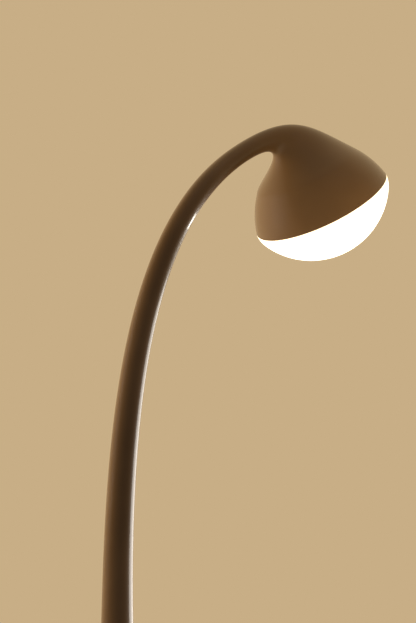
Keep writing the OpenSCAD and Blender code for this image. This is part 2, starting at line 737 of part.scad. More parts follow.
module bell_shade() {
    in_r = bell_curve - bell_wall;
    in_lean = asin(bell_curve * sin(rim_lean) / in_r);
    line = bell_centre + in_r * [cos(top_lean), sin(top_lean)];
    run = (top_h - land_t - line[1]) / cos(top_lean);
    color(lacquer) in_head() difference() {
        rotate_extrude() polygon(concat(
            arc(bell_centre, bell_curve, rim_lean, top_lean),
            [bell_top, [holder_r + screw_gap, top_h], [holder_r + screw_gap, top_h - land_t],
                line + run * [-sin(top_lean), cos(top_lean)]],
            arc(bell_centre, in_r, top_lean, in_lean)));
        shade_screw_places() cylinder(h = top_h + cut, r = shade_screw_r + 2 * screw_gap);
    }
}

module shade_screws() {
    seat = top_h - land_t;
    color(steel) in_head() shade_screw_places() rotate_extrude() polygon([
        [0, seat - shade_screw_head_t], [shade_screw_head_r / 2, seat - shade_screw_head_t],
        [shade_screw_head_r, seat - shade_screw_head_t / 2], [shade_screw_head_r, seat], [shade_screw_r, seat],
        [shade_screw_r, top_h + neck_ring_t], [0, top_h + neck_ring_t]]);
}

// Two knurled rings that clamp the holder's sleeve to the bell's flat top
module shade_rings() {
    color(white_plastic) in_head() for (low = [top_h, top_h - land_t - shade_ring_t])
        turned_ring(holder_r + screw_gap, holder_r + shade_ring_w, low, low + shade_ring_t);
}

module holder_cap() {
    low = sleeve_top;
    high = sleeve_top + cap_len;
    grip_r = lead_r + 2 * bond_gap;
    wall = 2;
    color(white_plastic) in_head() rotate_extrude() polygon(concat(
        [[holder_r - wall, low], [holder_r, low], [holder_r, low + cap_len / 2]],
        arc([holder_r - cap_len / 2, low + cap_len / 2], cap_len / 2, 0, 90),
        [[grip_r, high], [grip_r, high - wall]],
        arc([holder_r - cap_len / 2, low + cap_len / 2], cap_len / 2 - wall, 90, 0)));
}

module holder_sleeve() {
    bore = holder_r - sleeve_wall;
    color(white_plastic) in_head() rotate_extrude() polygon([[0, sleeve_top - sleeve_floor],
        [bore, sleeve_top - sleeve_floor], [bore, sleeve_mouth], [holder_r, sleeve_mouth],
        [holder_r, sleeve_top], [0, sleeve_top]]);
}

module bulb_cap() {
    low = sleeve_mouth;
    shell_top = low + bulb_cap_len;
    thread_n = 4;
    pitch = (bulb_cap_len - 6) / thread_n;
    groove = 0.8;
    tip_r = 4.5;
    tip_t = 2;
    color(brass) in_head() rotate_extrude() polygon(concat([[0, low], [bulb_cap_r, low], [bulb_cap_r, low + 3]],
        [for (k = [0:thread_n - 1]) for (q = [[0, 0], [groove, pitch / 2]])
            [bulb_cap_r - q[0], low + 3 + k * pitch + q[1]]],
        [[bulb_cap_r, shell_top - 3], [tip_r + 2, shell_top], [tip_r, shell_top],
            [tip_r, shell_top + tip_t], [0, shell_top + tip_t]]));
}

// Half section of the bulb's glass, moved in by d
module globe_section(d) {
    centre = sleeve_mouth - globe_drop;
    join = 40;
    neck_r = bulb_cap_r - cut - d;
    intersection() {
        union() {
            translate([0, centre]) circle(r = globe_r - d);
            polygon([[0, centre], [(globe_r - d) * cos(join), centre + (globe_r - d) * sin(join)],
                [neck_r, sleeve_mouth - bulb_cap_len / 4], [neck_r, sleeve_mouth], [0, sleeve_mouth]]);
        }
        translate([0, centre - 2 * globe_r]) square([2 * globe_r, 2 * globe_r + globe_drop - d]);
    }
}

module bulb_globe() {
    color(opal) in_head() rotate_extrude() difference() {
        globe_section(0);
        globe_section(glass_t);
    }
}

module bayonet_ring() {
    top = lip_z + bay_h;
    slot_r = lug_r + seam;
    notch_r = lug_r + seam / 2;
    lip_r = upstand_r + seam;
    notch = lug_angle + notch_clear;
    color(steel) in_head() difference() {
        rotate_extrude() polygon([[lip_r, lip_z], [bell_inside(lip_z, bond_gap), lip_z],
            [bell_inside((lip_z + top) / 2, bond_gap), (lip_z + top) / 2], [bell_inside(top, bond_gap), top],
            [slot_r, top], [slot_r, lip_z + lip_t], [lip_r, lip_z + lip_t]]);
        for (k = [0:lug_n - 1]) rotate(lug_first + twist + 360 * k / lug_n - notch / 2)
            rotate_extrude(angle = notch) translate([lip_r - cut, lip_z - cut])
                square([notch_r - lip_r + cut, lip_t + 2 * cut]);
    }
}

module diffuser() {
    in_r = dome_shoulder - dome_wall;
    up_in = upstand_r - dome_wall;
    color(opal) in_head() rotate_extrude() polygon(concat(
        arc(crown_centre, crown_r, -90, crown_angle),
        arc(shoulder_centre, dome_shoulder, crown_angle, 0),
        [[up_in, -seam], [up_in, -seam - dome_wall]],
        arc(shoulder_centre, in_r, -asin(dome_wall / in_r), crown_angle),
        arc(crown_centre, crown_r - dome_wall, crown_angle, -90)));
}

// Collar bonded on the dome's shelf, with the bayonet's lugs
module dome_collar() {
    color(white_plastic) in_head() union() {
        turned_ring(upstand_r - dome_wall, upstand_r, -seam, upstand_h);
        for (k = [0:lug_n - 1]) rotate(lug_first + 360 * k / lug_n - lug_angle / 2)
            rotate_extrude(angle = lug_angle) translate([upstand_r - cut, lug_z])
                square([lug_r - upstand_r + cut, lug_t]);
    }
}

// Lead from the terminal block along the ballast's slot, up the stem and round the neck to the holder
lead_end = rim + sleeve_top * head_up;
lead_grip = rim + (sleeve_top + cap_len + lead_d) * head_up;
lead_crook = [stem_end, stem_end + lead_reach * stem_dir, lead_grip + lead_reach * head_up, lead_grip];
lead_line = concat(
    [[block_x + block_l, cord_z], [-ballast_r / 2, cord_z]],
    [for (p = arc([-lead_bend, cord_z + lead_bend], lead_bend, -90, 0)) p],
    [[0, joint_z / 2]],
    arch_line,
    [for (k = [1:arc_steps]) bez3(lead_crook, k / arc_steps)],
    [lead_end]);

module lead() {
    dirs = path_dirs(lead_line);
    last = len(lead_line) - 1;
    color(black_plastic) solid_loft([for (k = [0:last])
        flat_loop(lead_line[k], lead_r * left_of(k == last ? -head_up : dirs[k]), lead_r, lead_sides)]);
}

felt_pad();
base_plate();
base_screws();
foot_ring();
foot_cover();
foot_trumpet();
trumpet_collar();
lower_stem();
ballast();
ballast_bolts();
cord_gland();
gland_nut();
cord_clamp();
clamp_screws();
terminal_block();
switch_lead();
switch_body();
switch_spring();
switch_button();
switch_bezel();
bezel_screws();
stem_plug();
stem();
neck_spigot();
neck();
neck_ring();
bell_shade();
shade_screws();
shade_rings();
holder_cap();
holder_sleeve();
bulb_cap();
bulb_globe();
bayonet_ring();
diffuser();
dome_collar();
lead();
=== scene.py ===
import json
import math

import bmesh
import bpy
from mathutils import Matrix, Vector


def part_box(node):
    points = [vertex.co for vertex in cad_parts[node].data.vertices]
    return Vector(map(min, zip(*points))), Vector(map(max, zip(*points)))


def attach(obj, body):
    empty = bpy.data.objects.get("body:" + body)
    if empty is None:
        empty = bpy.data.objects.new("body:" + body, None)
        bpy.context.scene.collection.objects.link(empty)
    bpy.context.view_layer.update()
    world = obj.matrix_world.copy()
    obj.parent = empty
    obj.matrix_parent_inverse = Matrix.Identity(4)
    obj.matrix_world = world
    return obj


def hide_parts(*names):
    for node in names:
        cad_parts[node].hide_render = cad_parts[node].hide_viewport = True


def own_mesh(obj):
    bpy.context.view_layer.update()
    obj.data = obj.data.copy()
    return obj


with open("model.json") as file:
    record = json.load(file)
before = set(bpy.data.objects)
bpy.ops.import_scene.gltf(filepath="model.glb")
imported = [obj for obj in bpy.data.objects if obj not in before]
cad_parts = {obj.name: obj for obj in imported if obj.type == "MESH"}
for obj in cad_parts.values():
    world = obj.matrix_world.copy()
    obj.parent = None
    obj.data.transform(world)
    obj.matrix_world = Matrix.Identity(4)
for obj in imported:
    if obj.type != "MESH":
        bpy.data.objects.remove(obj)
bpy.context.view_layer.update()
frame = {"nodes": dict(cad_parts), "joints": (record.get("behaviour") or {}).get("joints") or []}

# ---------------------------------------------------------------- felt sole
# The sole is a disc of pressed wool felt, cut with a knife and glued under the base plate.
# It keeps the steel off the floor, and its cut edge is a little fuzzy.
mm = 0.001
felt_r = 140
felt_t = 3
felt_edge = 0.7
felt_sides = 96


def tone(red, green, blue):
    """A colour given as it shows on a screen, from 0 to 255."""
    def linear(c):
        return c / 12.92 if c <= 0.04045 else ((c + 0.055) / 1.055) ** 2.4
    return (linear(red / 255), linear(green / 255), linear(blue / 255), 1)


class Shade:
    """A socket of a node tree. Sums and products of it add Math nodes, and node() adds any other."""

    def __init__(self, tree, socket=None):
        self.tree, self.socket = tree, socket

    def node(self, kind, settings=None, inputs=None, out=0):
        made = self.tree.nodes.new("ShaderNode" + kind)
        for name, value in (settings or {}).items():
            if name == "stops":
                ramp = made.color_ramp.elements
                for place, (at, colour) in enumerate(value):
                    stop = ramp[place] if place < len(ramp) else ramp.new(at)
                    stop.position, stop.color = at, colour
            else:
                setattr(made, name, value)
        for name, value in (inputs or {}).items():
            if isinstance(value, Shade):
                self.tree.links.new(value.socket, made.inputs[name])
            else:
                made.inputs[name].default_value = value
        return Shade(self.tree, made.outputs[out])

    def __add__(self, other):
        return self.node("Math", {"operation": "ADD"}, {0: self, 1: other})

    def __mul__(self, other):
        return self.node("Math", {"operation": "MULTIPLY"}, {0: self, 1: other})

    __radd__, __rmul__ = __add__, __mul__


def noise(place, scale, detail, roughness=0.5):
    """Even noise over a place, from 0 to 1."""
    return place.node("TexNoise", {}, {"Vector": place, "Scale": scale, "Detail": detail, "Roughness": roughness})


def blend(factor, *stops):
    """A colour that follows a factor, between stops of (position, colour)."""
    return factor.node("ValToRGB", {"stops": stops}, {0: factor})


def bump(height, strength, distance):
    """A normal that follows a height, with its distance in metres."""
    return height.node("Bump", {}, {"Strength": strength, "Distance": distance, "Height": height})


def finish(name, recipe):
    """A material. From Object coordinates, its recipe gives its sockets as plain values or as Shades that vary."""
    material = bpy.data.materials.new(name)
    material.use_nodes = True
    tree = material.node_tree
    surface = tree.nodes["Principled BSDF"]
    for socket, value in recipe(Shade(tree).node("TexCoord", out="Object")).items():
        if isinstance(value, Shade):
            tree.links.new(value.socket, surface.inputs[socket])
        else:
            surface.inputs[socket].default_value = value
    return material


def wool(place):
    fibre = noise(place, 1400, 5, 0.7)
    mix = fibre * 0.7 + noise(place, 60, 2) * 0.3
    return {
        "Base Color": blend(mix, (0.3, tone(38, 37, 35)), (0.7, tone(74, 72, 68))),
        "Roughness": 0.95,
        "Sheen Weight": 0.35,
        "Normal": bump(fibre, 0.6, 0.0004),
    }


def turned(profile, sides, rounding=0, corners=(), closed=True):
    """A form turned round Z from a profile of (radius, height) in millimetres, with some corners rounded first."""
    shape = bmesh.new()
    points = [shape.verts.new((r * mm, 0, z * mm)) for r, z in profile]
    for here, there in zip(points, points[1:] + points[:1] if closed else points[1:]):
        shape.edges.new((here, there))
    if corners:
        bmesh.ops.bevel(shape, geom=[points[k] for k in corners], offset=rounding * mm, segments=4, profile=0.5,
                        affect="VERTICES", material=-1)
    bmesh.ops.spin(shape, geom=shape.verts[:] + shape.edges[:], axis=(0, 0, 1), cent=(0, 0, 0),
                   angle=2 * math.pi, steps=sides, use_merge=True)
    bmesh.ops.remove_doubles(shape, verts=shape.verts, dist=1e-6)
    bmesh.ops.recalc_face_normals(shape, faces=shape.faces)
    return shape


def smooth(mesh, sharp_from=math.radians(35)):
    """Shades a mesh smooth, apart from its sharp edges."""
    mesh.shade_smooth()
    mesh.set_sharp_from_angle(angle=sharp_from)


def placed(name, shape):
    """A new object in the scene, made of a shape that is used up."""
    mesh = bpy.data.meshes.new(name)
    shape.to_mesh(mesh)
    shape.free()
    made = bpy.data.objects.new(name, mesh)
    bpy.context.scene.collection.objects.link(made)
    return made


def piece(name, shape, material, body, slot, *stands_for):
    """A finished piece, on its body and in the place of its solids."""
    made = placed(name, shape)
    made.data.materials.append(material)
    smooth(made.data)
    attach(made, body)
    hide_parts(*stands_for)
    return made


sole = turned([(0, 0), (felt_r, 0), (felt_r, felt_t), (0, felt_t)], felt_sides, felt_edge, (1, 2), closed=False)
piece("felt_sole", sole, finish("felt", wool), "lamp", "felt", "felt_pad")

# ---------------------------------------------------------------- base plate, ring and screws
# A steel disc closes the foot from below. It is cut by laser, zinc plated, and held by countersunk screws
# in a ring that is welded inside the foot's edge. Plating leaves a faint grain and a cool mottled shine.


def dress(material, *names):
    """Gives a material to CAD nodes whose shape stays."""
    for name in names:
        frame["nodes"][name].material_slots[0].material = material


def zinc(place):
    spangle = place.node("TexVoronoi", {}, {"Vector": place, "Scale": 220}, "Color")
    cool = place.node("RGBToBW", {}, {0: spangle})
    scratch = noise(place.node("Mapping", {}, {"Vector": place, "Scale": (40, 2200, 2200)}), 1, 3)
    return {
        "Base Color": blend(cool, (0.1, tone(168, 170, 171)), (0.9, tone(202, 202, 198))),
        "Metallic": 1,
        "Roughness": 0.28 + cool * 0.12 + scratch * 0.12,
        "Normal": bump(scratch, 0.08, 0.0001),
    }


steel = finish("zinc_plated_steel", zinc)
dress(steel, "base_plate", "base_screws", "foot_ring")

# ---------------------------------------------------------------- ballast
# A ring of grey cast iron, bolted to the plate, keeps the lamp upright under its overhanging head.
# It is left as it came from the sand mould: dark, rough and grainy.


def sand_cast(place):
    sand = noise(place, 700, 6, 0.65)
    return {
        "Base Color": blend(noise(place, 35, 3), (0.35, tone(52, 52, 54)), (0.7, tone(84, 81, 78))),
        "Metallic": 0.6,
        "Roughness": 0.6 + sand * 0.25,
        "Normal": bump(sand, 0.7, 0.0006),
    }


dress(finish("cast_iron", sand_cast), "ballast")
dress(steel, "ballast_bolts")

# ---------------------------------------------------------------- foot cover, trumpet and lower stem
# The foot is spun from steel sheet and welded to the tapered lower stem over an inner collar. The weld is ground
# away and the whole is sprayed with warm brown lacquer, glossy and very slightly wavy, as sprayed lacquer dries.
body_sides = 128
foot_r = 148
foot_edge_z = 24.946
foot_edge_loops = 15, 9
foot_round = 5
foot_round_steps = 12
foot_slope = math.radians(8)
cover_step = 4
flare_r = 88
flare_pull = 54
trumpet_pull = 300
trumpet_slope = 0.0286
trumpet_steps = 90
shell_wall = 2
shell_lift = 4
joint_z = 560
joint_r = 25.2
switch_x = 114
switch_hole_r = 17.3
switch_hole_sides = 96
inlet_r = 4.55
inlet_z = 14.8
inlet_sides = 48
drill_len = 60
off_seam = Matrix.Rotation(0.02, 4, "Z")


def sprayed(place):
    cloud = noise(place, 9, 3)
    mix = cloud * 0.75 + noise(place, 2600, 2) * 0.25
    return {
        "Base Color": blend(mix, (0.3, tone(94, 65, 33)), (0.7, tone(108, 76, 41))),
        "Roughness": 0.36 + cloud * 0.12,
        "Coat Weight": 0.75 + cloud * 0.2,
        "Coat Roughness": 0.07,
        "Normal": bump(noise(place, 260, 1, 0.4), 0.035, 0.0005),
    }


def on_curve(curve, t):
    """A point of the curve that four points draw."""
    a, b, c, d = curve
    return a * (1 - t) ** 3 + b * (3 * t * (1 - t) ** 2) + c * (3 * t * t * (1 - t)) + d * t ** 3


def flat_z(r):
    """The height of the foot's sloping cover."""
    return foot_edge_z + (foot_r - r) * math.tan(foot_slope)


def settle(made):
    """Fixes a piece's modifiers into its mesh."""
    bpy.context.view_layer.update()
    ready = made.evaluated_get(bpy.context.evaluated_depsgraph_get())
    mesh = bpy.data.meshes.new_from_object(ready)
    shape = bmesh.new()
    shape.from_mesh(mesh)
    bmesh.ops.dissolve_degenerate(shape, dist=1e-5, edges=shape.edges)
    shape.to_mesh(mesh)
    shape.free()
    made.modifiers.clear()
    made.data = mesh
    smooth(mesh)


def walled(made, wall):
    """Gives a skin its wall, inwards."""
    thick = made.modifiers.new("wall", "SOLIDIFY")
    thick.thickness, thick.offset, thick.use_even_offset = wall * mm, -1, True


lacquer = finish("brown_lacquer", sprayed)
trumpet = [Vector(p) for p in (
    (joint_r, joint_z), (joint_r + trumpet_slope * trumpet_pull, joint_z - trumpet_pull),
    (flare_r - flare_pull * math.cos(foot_slope), flat_z(flare_r) + flare_pull * math.sin(foot_slope)),
    (flare_r, flat_z(flare_r)))]
foot_turn = math.pi / 2 - foot_slope
foot_round_z = foot_edge_z - foot_round * math.tan(foot_turn / 2)
foot_line = [on_curve(trumpet, k / trumpet_steps) for k in range(trumpet_steps + 1)]
foot_line += [(r, flat_z(r)) for r in range(flare_r + cover_step, foot_r - foot_round, cover_step)]
foot_line += [(foot_r - foot_round + foot_round * math.cos(a), foot_round_z + foot_round * math.sin(a))
              for a in [foot_turn * (1 - k / foot_round_steps) for k in range(foot_round_steps + 1)]]
foot_line += [(foot_r, z) for z in (*foot_edge_loops, shell_lift)]
foot = piece("foot_shell", turned(foot_line, body_sides, closed=False), lacquer, "lamp", "lacquer",
             "foot_cover", "foot_trumpet", "lower_stem")
walled(foot, shell_wall)
switch_at = Matrix.Translation((switch_x * mm, 0, drill_len / 2 * mm))
inlet_at = Matrix.Translation((-foot_r * mm, 0, inlet_z * mm))
drill = bmesh.new()
bmesh.ops.create_cone(drill, cap_ends=True, segments=switch_hole_sides, radius1=switch_hole_r * mm,
                      radius2=switch_hole_r * mm, depth=drill_len * mm, matrix=switch_at @ off_seam)
bmesh.ops.create_cone(drill, cap_ends=True, segments=inlet_sides, radius1=inlet_r * mm, radius2=inlet_r * mm,
                      depth=drill_len / 2 * mm, matrix=inlet_at @ Matrix.Rotation(math.pi / 2, 4, "Y") @ off_seam)
cutter = placed("drill", drill)
holes = foot.modifiers.new("holes", "BOOLEAN")
holes.operation, holes.solver, holes.object = "DIFFERENCE", "EXACT", cutter
settle(foot)
bpy.data.objects.remove(cutter)
dress(steel, "trumpet_collar")

# ---------------------------------------------------------------- cord inlet, clamp and terminal block
# The gland is a black moulded bush, pushed through the back of the foot's edge and held by a nut inside.
# Behind it a black clamp grips the cord, and a white terminal block joins it to the leads.
# All three are satin mouldings.
gland_bore = 3.1
gland_r = 4.5
gland_tail = 9
gland_seat = 0.05
gland_flange_r = 5.6
gland_flange_top = 1.5
gland_top = 3
gland_edge = 0.35
gland_sides = 64


def moulded(dark, light):
    def recipe(place):
        spark = noise(place, 1800, 2)
        return {
            "Base Color": blend(noise(place, 30, 2), (0.3, dark), (0.7, light)),
            "Roughness": 0.38 + spark * 0.16,
            "Normal": bump(spark, 0.25, 0.00012),
        }
    return recipe


def jacket(place):
    grain = noise(place, 900, 3)
    return {
        "Base Color": blend(grain, (0.3, tone(38, 37, 36)), (0.7, tone(54, 52, 50))),
        "Roughness": 0.5 + grain * 0.2,
        "Normal": bump(grain, 0.3, 0.0002),
    }


black = finish("black_moulding", moulded(tone(34, 33, 31), tone(45, 43, 41)))
white = finish("white_moulding", moulded(tone(224, 219, 207), tone(236, 231, 221)))
gland = turned([(gland_bore, -gland_tail), (gland_r, -gland_tail), (gland_r, gland_seat),
                (gland_flange_r, gland_seat), (gland_flange_r, gland_flange_top),
                (gland_r, gland_top), (gland_bore, gland_top)], gland_sides, gland_edge, (1, 3, 4, 5, 6))
bmesh.ops.transform(gland, verts=gland.verts, matrix=inlet_at @ Matrix.Rotation(-math.pi / 2, 4, "Y"))
piece("cord_bush", gland, black, "lamp", "black_plastic", "cord_gland")
dress(black, "cord_clamp")
dress(white, "terminal_block")
dress(steel, "gland_nut", "clamp_screws")
dress(finish("cable_jacket", jacket), "switch_lead", "lead")

# ---------------------------------------------------------------- foot switch
# A turned steel bezel, polished and screwed to the base plate, stands through the foot and holds the contact block.
# The black button slides in it on a wound spring, which closes up as a shoe presses the grooved crown down. Here the
# spring is drawn at rest.
bezel_r = 17
bezel_bore = 13.3
bezel_low = 9
bezel_proud = 3.5
bezel_top = flat_z(switch_x - bezel_r) + bezel_proud
bezel_bevel = 1.2
bezel_lip = 3
bezel_edge = 0.5
button_r = 10.7
button_gap = 0.3
button_edge = 0.4
button_proud = 4.5
button_top = bezel_top + button_proud
ledge_r = 13
ledge_t = 4
ledge_z = bezel_top - bezel_lip - button_gap
pin_r = 4
pin_z = 14.3
crown_rise = 1.5
crown_steps = 60
groove_from, groove_to = 1.2, 8.2
groove_w = 0.7
groove_depth = 0.25
switch_sides = 96
wire_r = 0.5
wire_sides = 12
coil_r = 7.5
turns = 5
turn_steps = 32


def lathe(place):
    centred = place.node("VectorMath", {"operation": "SUBTRACT"}, {0: place, 1: (switch_x * mm, 0, 0)})
    across = place.node("VectorMath", {"operation": "MULTIPLY"}, {0: centred, 1: (1, 1, 0)})
    out = place.node("VectorMath", {"operation": "LENGTH"}, {0: across}, "Value")
    feed = place.node("TexNoise", {"noise_dimensions": "1D"}, {"W": out, "Scale": 9000, "Detail": 2})
    smear = noise(place, 160, 3)
    return {
        "Base Color": blend(smear, (0.3, tone(196, 194, 190)), (0.7, tone(218, 216, 212))),
        "Metallic": 1,
        "Roughness": 0.1 + feed * 0.08 + smear * 0.08,
        "Normal": bump(feed, 0.06, 0.0001),
    }


def at_switch(shape):
    """Carries a form turned round Z to the switch."""
    bmesh.ops.translate(shape, verts=shape.verts, vec=(switch_x * mm, 0, 0))
    return shape


lip_r = button_r + button_gap
bezel = turned([(bezel_bore, bezel_low), (bezel_r, bezel_low), (bezel_r, bezel_top - bezel_bevel),
                (bezel_r - bezel_bevel, bezel_top), (lip_r, bezel_top), (lip_r, bezel_top - bezel_lip),
                (bezel_bore, bezel_top - bezel_lip)], switch_sides, bezel_edge, (2, 3, 4))
piece("switch_ring", at_switch(bezel), finish("turned_steel", lathe), "lamp", "bezel", "switch_bezel")
crown_r = (button_r ** 2 + crown_rise ** 2) / (2 * crown_rise)
crown = []
for k in range(crown_steps + 1):
    r = button_r * (1 - k / crown_steps)
    wave = max(0, math.sin(math.pi * (r - groove_from) / groove_w)) if groove_from < r < groove_to else 0
    crown.append((r, button_top - crown_r + math.sqrt(crown_r ** 2 - r ** 2) - groove_depth * wave))
button = turned([(0, pin_z), (pin_r, pin_z), (pin_r, ledge_z - ledge_t), (ledge_r, ledge_z - ledge_t),
                 (ledge_r, ledge_z), (button_r, ledge_z), *crown], switch_sides, button_edge, (3, 4, 6), closed=False)
piece("foot_button", at_switch(button), black, "switch_button", "black_plastic", "switch_button")
dress(black, "switch_body")
dress(steel, "bezel_screws")
coil_low, coil_high = (corner[2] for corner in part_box("switch_spring"))
coil = bmesh.new()
bmesh.ops.create_circle(coil, segments=wire_sides, radius=wire_r * mm)
bmesh.ops.rotate(coil, verts=coil.verts, matrix=Matrix.Rotation(math.pi / 2, 3, "X"))
bmesh.ops.translate(coil, verts=coil.verts, vec=((switch_x + coil_r) * mm, 0, coil_low + wire_r * mm))
rise = (coil_high - coil_low - 2 * wire_r * mm) / (turns * turn_steps)
bmesh.ops.spin(coil, geom=coil.verts[:] + coil.edges[:], cent=(switch_x * mm, 0, 0), axis=(0, 0, 1),
               dvec=(0, 0, rise), angle=2 * math.pi * turns, steps=turns * turn_steps)
bmesh.ops.holes_fill(coil, edges=coil.edges, sides=0)
bmesh.ops.recalc_face_normals(coil, faces=coil.faces)
spring = piece("return_spring", coil, steel, "lamp", "steel", "switch_spring")
press = next(j for j in frame["joints"] if j["name"] == "switch_press")
1 - press["range_m"][1] / (coil_high - coil_low)
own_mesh(spring)

# ---------------------------------------------------------------- arched stem
# A steel tube, drawn to a long taper and bent over a form into one arch. A plug joins it to the lower stem,
# and the joint is filled, ground flush and lacquered, so that no line shows.
stem_swell = 1.3
stem_swell_len = 70
stem_end_r = 15.7
stem_wall = 2
stem_lean = math.radians(59.3)
stem_end = Vector((235, 0, 1304))
stem_pull = 368
stem_end_pull = 218
stem_steps = 140
stem_way = Vector((math.sin(stem_lean), 0, math.cos(stem_lean)))
arch = [Vector((0, 0, joint_z)), Vector((0, 0, joint_z + stem_pull)), stem_end - stem_end_pull * stem_way, stem_end]


def heading(curve, t):
    """The direction of the curve that four points draw."""
    a, b, c, d = curve
    return ((b - a) * (1 - t) ** 2 + (c - b) * (2 * t * (1 - t)) + (d - c) * t * t).normalized()


def loft(sections):
    """A skin over rings, each the matrix that carries a circle of radius 1 to its place."""
    shape = bmesh.new()
    bmesh.ops.create_circle(shape, segments=body_sides, radius=1)
    bmesh.ops.transform(shape, verts=shape.verts, matrix=sections[0])
    ring = shape.edges[:]
    for before, after in zip(sections, sections[1:]):
        grown = bmesh.ops.extrude_edge_only(shape, edges=ring)["geom"]
        ring = [e for e in grown if isinstance(e, bmesh.types.BMEdge)]
        bmesh.ops.transform(shape, verts=[v for v in grown if isinstance(v, bmesh.types.BMVert)],
                            matrix=after @ before.inverted())
    bmesh.ops.recalc_face_normals(shape, faces=shape.faces)
    return shape


def ring_at(centre, half, depth):
    """The matrix of one ring: half of its width in the lamp's plane, and its half depth across that plane."""
    across = Vector((0, depth, 0))
    place = (Matrix((half, across, half.cross(across).normalized())) * mm).transposed().to_4x4()
    place.translation = centre * mm
    return place


arch_line = [on_curve(arch, k / stem_steps) for k in range(stem_steps + 1)]
arch_run = [0]
for here, there in zip(arch_line, arch_line[1:]):
    arch_run.append(arch_run[-1] + (there - here).length)
taper = joint_r - stem_swell - stem_end_r
stem_rings = []
for k, (centre, run) in enumerate(zip(arch_line, arch_run)):
    way = heading(arch, k / stem_steps)
    r = stem_end_r + taper * (1 - run / arch_run[-1]) + stem_swell * math.exp(-run / stem_swell_len)
    stem_rings.append(ring_at(centre, r * Vector((-way.z, 0, way.x)), r))
tube = piece("arched_stem", loft(stem_rings), lacquer, "lamp", "lacquer", "stem")
walled(tube, stem_wall)
settle(tube)
dress(steel, "stem_plug", "neck_spigot")

# ---------------------------------------------------------------- neck
# The crook is two pressed steel halves, welded along the mirror plane and over a spigot to the stem.
# Its outer line runs on over the head and its inner line turns under, so that the tube swells into the bell.
head = next(j for j in frame["joints"] if j["name"] == "diffuser_twist")
rim_centre = Vector(head["pos_m"]) / mm
head_up = Vector(head["axis"])
head_across = Vector((head_up.z, 0, -head_up.x))
rim_r = 120
bell_curve = 163
rim_lean = math.radians(13.4)
top_lean = math.radians(36.1)
bell_straight = 6.4
neck_middle_w = 4
neck_steps = 60
bell_middle = Vector((rim_r - bell_curve * math.cos(rim_lean), -bell_curve * math.sin(rim_lean)))


def bell_point(curve, lean, straight=0):
    """A point of the bell's section, as radius and height over the rim: along an arc, then straight on."""
    along = Vector((math.cos(lean), math.sin(lean)))
    return bell_middle + curve * along + straight * Vector((-along.y, along.x))


top_r, top_h = bell_point(bell_curve, top_lean, bell_straight)
top_centre = rim_centre + top_h * head_up
stem_left = Vector((-stem_way.z, 0, stem_way.x))
stem_r = stem_end_r + stem_swell * math.exp(-arch_run[-1] / stem_swell_len)


def rail(side, at_stem, along, off, at_bell):
    """Five points of one edge line, all shares of its span, and its pull at the bell."""
    start = stem_end + side * stem_r * stem_left
    end = top_centre + side * top_r * head_across
    lean = -head_up * math.cos(top_lean) + side * head_across * math.sin(top_lean)
    span = end - start
    middle = start + along * span + off * Vector((-span.z, 0, span.x))
    pull = at_bell * span.length
    return [start, start + at_stem * span.length * stem_way, middle, end - pull * lean, end], pull


def on_rail(points, t):
    """A point of the curve that five points draw."""
    return (1 - t) * on_curve(points[:4], t) + t * on_curve(points[1:], t)


inner_rail, inner_pull = rail(-1, at_stem=1.158, along=0.618, off=0.962, at_bell=0.254)
outer_rail, outer_pull = rail(1, at_stem=0.61, along=0.73, off=0.157, at_bell=0.1)
side_step = math.sin(top_lean) * (inner_pull + outer_pull) / 2
widths = [stem_r, stem_r, neck_middle_w, top_r - side_step, top_r]
neck_rings = []
for k in range(neck_steps + 1):
    t = k / neck_steps
    inside, outside = on_rail(inner_rail, t), on_rail(outer_rail, t)
    neck_rings.append(ring_at((inside + outside) / 2, (outside - inside) / 2, on_rail(widths, t)))
crook = piece("crook", loft(neck_rings), lacquer, "lamp", "lacquer", "neck")
walled(crook, stem_wall)
settle(crook)
dress(steel, "neck_ring")

# ---------------------------------------------------------------- bell
# The bell is spun from aluminium sheet in line with the crook. Four screws hold its flat top to a ring in the neck.
# Its rim is cut square with broken edges, and it has the same lacquer as the stem.
bell_wall = 2.5
bell_steps = 24
rim_edge = 0.5
holder_hole = 19.6


def in_head(shape):
    """Carries a form turned round Z into the head, from height 0 to the rim."""
    turn = Matrix((head_across, (0, 1, 0), head_up)).transposed().to_4x4()
    bmesh.ops.transform(shape, verts=shape.verts, matrix=Matrix.Translation(rim_centre * mm) @ turn)
    return shape


def bell_arc(curve, start, end):
    """The points of an arc in the bell's section."""
    return [bell_point(curve, start + (end - start) * k / bell_steps) for k in range(bell_steps + 1)]


inner_curve = bell_curve - bell_wall
inner_lean = math.asin(bell_curve * math.sin(rim_lean) / inner_curve)
inner_top = bell_point(inner_curve, top_lean)
inner_run = (top_h - bell_wall - inner_top.y) / math.cos(top_lean)
bell_line = bell_arc(bell_curve, rim_lean, top_lean)
bell_line += [(top_r, top_h), (holder_hole, top_h), (holder_hole, top_h - bell_wall),
              bell_point(inner_curve, top_lean, inner_run)]
bell_line += bell_arc(inner_curve, top_lean, inner_lean)
bell = turned(bell_line, body_sides, rim_edge, (0, len(bell_line) - 1))
piece("bell", in_head(bell), lacquer, "lamp", "lacquer", "bell_shade")
dress(steel, "shade_screws", "bayonet_ring")

# ---------------------------------------------------------------- lamp holder and bulb
# The holder is a white moulded sleeve and cap, clamped to the bell's flat top between two rings.
# The bulb has a rolled brass cap and a round globe of frosted glass.


def rolled_brass(place):
    tarnish = noise(place, 120, 4)
    return {
        "Base Color": blend(tarnish, (0.3, tone(176, 142, 78)), (0.7, tone(206, 176, 112))),
        "Metallic": 1,
        "Roughness": 0.2 + tarnish * 0.2,
        "Normal": bump(tarnish, 0.06, 0.0001),
    }


def frosted(place):
    etch = noise(place, 2200, 2)
    return {
        "Base Color": blend(etch, (0.3, tone(240, 238, 230)), (0.7, tone(250, 248, 242))),
        "Roughness": 0.4 + etch * 0.15,
        "Transmission Weight": 0.6,
        "IOR": 1.5,
        "Normal": bump(etch, 0.1, 0.0001),
    }


